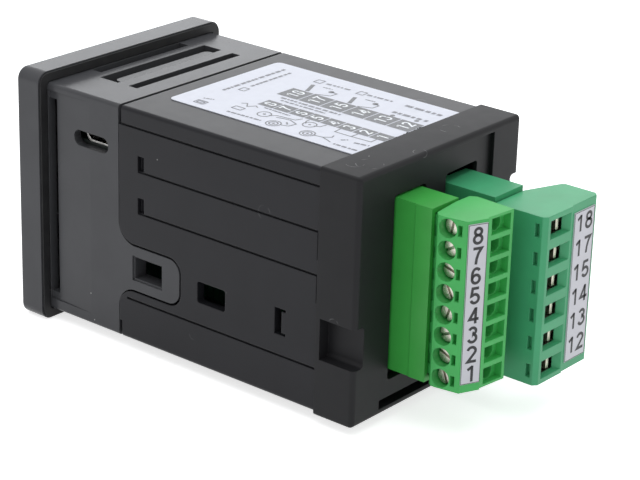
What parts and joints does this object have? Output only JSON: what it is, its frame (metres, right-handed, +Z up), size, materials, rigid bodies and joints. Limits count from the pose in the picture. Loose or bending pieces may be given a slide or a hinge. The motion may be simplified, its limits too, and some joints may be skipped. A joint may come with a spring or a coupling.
{
  "type": "pid temperature controller",
  "caption": "Square panel-mounted PID temperature controller with a display front, push keys, a deep dark grey housing and pull-off green screw terminal plugs at the rear.",
  "frame": {"origin": "centre of the panel plane, where the bezel's rear face bears on the panel", "axes": "+Y to the rear through the panel, +Z up, +X to the right of a person who faces the display"},
  "size_m": [0.048, 0.0987, 0.048],
  "materials": {
    "enclosure_plastic": "fine spark-eroded texture",
    "front_plastic": "fine spark-eroded texture",
    "gasket_rubber": "smooth",
    "window_acrylic": "smoked and polished",
    "key_plastic": "satin",
    "switch_plastic": "moulded",
    "display_face": "potted face",
    "lamp_lens": "diffusing",
    "board_laminate": "solder mask",
    "chip_plastic": "moulded",
    "relay_plastic": "moulded",
    "transformer_core": "varnished",
    "capacitor_can": "sleeved",
    "connector_plastic": "moulded",
    "nickel_steel": "nickel plated",
    "tinned_brass": "tin plated",
    "signal_green": "moulded polyamide",
    "power_green": "moulded polyamide",
    "label_film": "printed film",
    "strip_film": "printed film"
  },
  "bodies": {
    "controller": {"bezel_housing": "front_plastic", "panel_gasket": "gasket_rubber", "display_window": "window_acrylic", "key_switches": "switch_plastic", "display_board": "board_laminate", "process_display": "display_face", "setpoint_display": "display_face", "indicator_leds": "lamp_lens", "body_sleeve": "enclosure_plastic", "rear_cover": "enclosure_plastic", "wiring_label": "label_film", "signal_board": "board_laminate", "power_board": "board_laminate", "board_connectors": "connector_plastic", "processor": "chip_plastic", "input_converter": "chip_plastic", "transformer": "transformer_core", "output_relay_1": "relay_plastic", "output_relay_2": "relay_plastic", "filter_capacitor": "capacitor_can", "port_board": "board_laminate", "usb_port": "nickel_steel", "usb_tongue": "connector_plastic", "signal_header": "signal_green", "signal_header_pins": "tinned_brass", "power_header": "power_green", "power_header_pins": "tinned_brass"},
    "key_mode": {"key_mode": "key_plastic", "key_mode_plunger": "switch_plastic"},
    "key_down": {"key_down": "key_plastic", "key_down_plunger": "switch_plastic"},
    "key_up": {"key_up": "key_plastic", "key_up_plunger": "switch_plastic"},
    "key_set": {"key_set": "key_plastic", "key_set_plunger": "switch_plastic"},
    "signal_plug": {"signal_plug": "signal_green", "signal_contacts": "tinned_brass", "signal_clamps": "nickel_steel", "signal_number_strip": "strip_film"},
    "signal_screw_1": {"signal_screw_1": "nickel_steel"},
    "signal_screw_2": {"signal_screw_2": "nickel_steel"},
    "signal_screw_3": {"signal_screw_3": "nickel_steel"},
    "signal_screw_4": {"signal_screw_4": "nickel_steel"},
    "signal_screw_5": {"signal_screw_5": "nickel_steel"},
    "signal_screw_6": {"signal_screw_6": "nickel_steel"},
    "signal_screw_7": {"signal_screw_7": "nickel_steel"},
    "signal_screw_8": {"signal_screw_8": "nickel_steel"},
    "power_plug": {"power_plug": "power_green", "power_contacts": "tinned_brass", "power_clamps": "nickel_steel", "power_number_strip": "strip_film"},
    "power_screw_12": {"power_screw_12": "nickel_steel"},
    "power_screw_13": {"power_screw_13": "nickel_steel"},
    "power_screw_14": {"power_screw_14": "nickel_steel"},
    "power_screw_15": {"power_screw_15": "nickel_steel"},
    "power_screw_17": {"power_screw_17": "nickel_steel"},
    "power_screw_18": {"power_screw_18": "nickel_steel"}
  },
  "joints": [
    {"name": "key_mode_press", "type": "slide", "parent": "controller", "child": "key_mode", "axis": [0, 1, 0], "range_m": [0, 0.0005], "stiffness_N_per_m": 3000},
    {"name": "key_down_press", "type": "slide", "parent": "controller", "child": "key_down", "axis": [0, 1, 0], "range_m": [0, 0.0005], "stiffness_N_per_m": 3000},
    {"name": "key_up_press", "type": "slide", "parent": "controller", "child": "key_up", "axis": [0, 1, 0], "range_m": [0, 0.0005], "stiffness_N_per_m": 3000},
    {"name": "key_set_press", "type": "slide", "parent": "controller", "child": "key_set", "axis": [0, 1, 0], "range_m": [0, 0.0005], "stiffness_N_per_m": 3000},
    {"name": "signal_plug_pull", "type": "slide", "parent": "controller", "child": "signal_plug", "axis": [0, 1, 0], "range_m": [0, 0.012]},
    {"name": "power_plug_pull", "type": "slide", "parent": "controller", "child": "power_plug", "axis": [0, 1, 0], "range_m": [0, 0.014]},
    {"name": "signal_screw_1_turn", "type": "hinge", "parent": "signal_plug", "child": "signal_screw_1", "pos_m": [0.0115, 0.0836, -0.01229], "axis": [-1, 0, 0], "range_deg": [0, 1710]},
    {"name": "signal_screw_2_turn", "type": "hinge", "parent": "signal_plug", "child": "signal_screw_2", "pos_m": [0.0115, 0.0836, -0.00847], "axis": [-1, 0, 0], "range_deg": [0, 1710]},
    {"name": "signal_screw_3_turn", "type": "hinge", "parent": "signal_plug", "child": "signal_screw_3", "pos_m": [0.0115, 0.0836, -0.00466], "axis": [-1, 0, 0], "range_deg": [0, 1710]},
    {"name": "signal_screw_4_turn", "type": "hinge", "parent": "signal_plug", "child": "signal_screw_4", "pos_m": [0.0115, 0.0836, -0.00085], "axis": [-1, 0, 0], "range_deg": [0, 1710]},
    {"name": "signal_screw_5_turn", "type": "hinge", "parent": "signal_plug", "child": "signal_screw_5", "pos_m": [0.0115, 0.0836, 0.00296], "axis": [-1, 0, 0], "range_deg": [0, 1710]},
    {"name": "signal_screw_6_turn", "type": "hinge", "parent": "signal_plug", "child": "signal_screw_6", "pos_m": [0.0115, 0.0836, 0.00677], "axis": [-1, 0, 0], "range_deg": [0, 1710]},
    {"name": "signal_screw_7_turn", "type": "hinge", "parent": "signal_plug", "child": "signal_screw_7", "pos_m": [0.0115, 0.0836, 0.01057], "axis": [-1, 0, 0], "range_deg": [0, 1710]},
    {"name": "signal_screw_8_turn", "type": "hinge", "parent": "signal_plug", "child": "signal_screw_8", "pos_m": [0.0115, 0.0836, 0.01439], "axis": [-1, 0, 0], "range_deg": [0, 1710]},
    {"name": "power_screw_12_turn", "type": "hinge", "parent": "power_plug", "child": "power_screw_12", "pos_m": [-0.0135, 0.0891, -0.01375], "axis": [1, 0, 0], "range_deg": [0, 1710]},
    {"name": "power_screw_13_turn", "type": "hinge", "parent": "power_plug", "child": "power_screw_13", "pos_m": [-0.0135, 0.0891, -0.00867], "axis": [1, 0, 0], "range_deg": [0, 1710]},
    {"name": "power_screw_14_turn", "type": "hinge", "parent": "power_plug", "child": "power_screw_14", "pos_m": [-0.0135, 0.0891, -0.00359], "axis": [1, 0, 0], "range_deg": [0, 1710]},
    {"name": "power_screw_15_turn", "type": "hinge", "parent": "power_plug", "child": "power_screw_15", "pos_m": [-0.0135, 0.0891, 0.00149], "axis": [1, 0, 0], "range_deg": [0, 1710]},
    {"name": "power_screw_17_turn", "type": "hinge", "parent": "power_plug", "child": "power_screw_17", "pos_m": [-0.0135, 0.0891, 0.00657], "axis": [1, 0, 0], "range_deg": [0, 1710]},
    {"name": "power_screw_18_turn", "type": "hinge", "parent": "power_plug", "child": "power_screw_18", "pos_m": [-0.0135, 0.0891, 0.01165], "axis": [1, 0, 0], "range_deg": [0, 1710]}
  ]
}
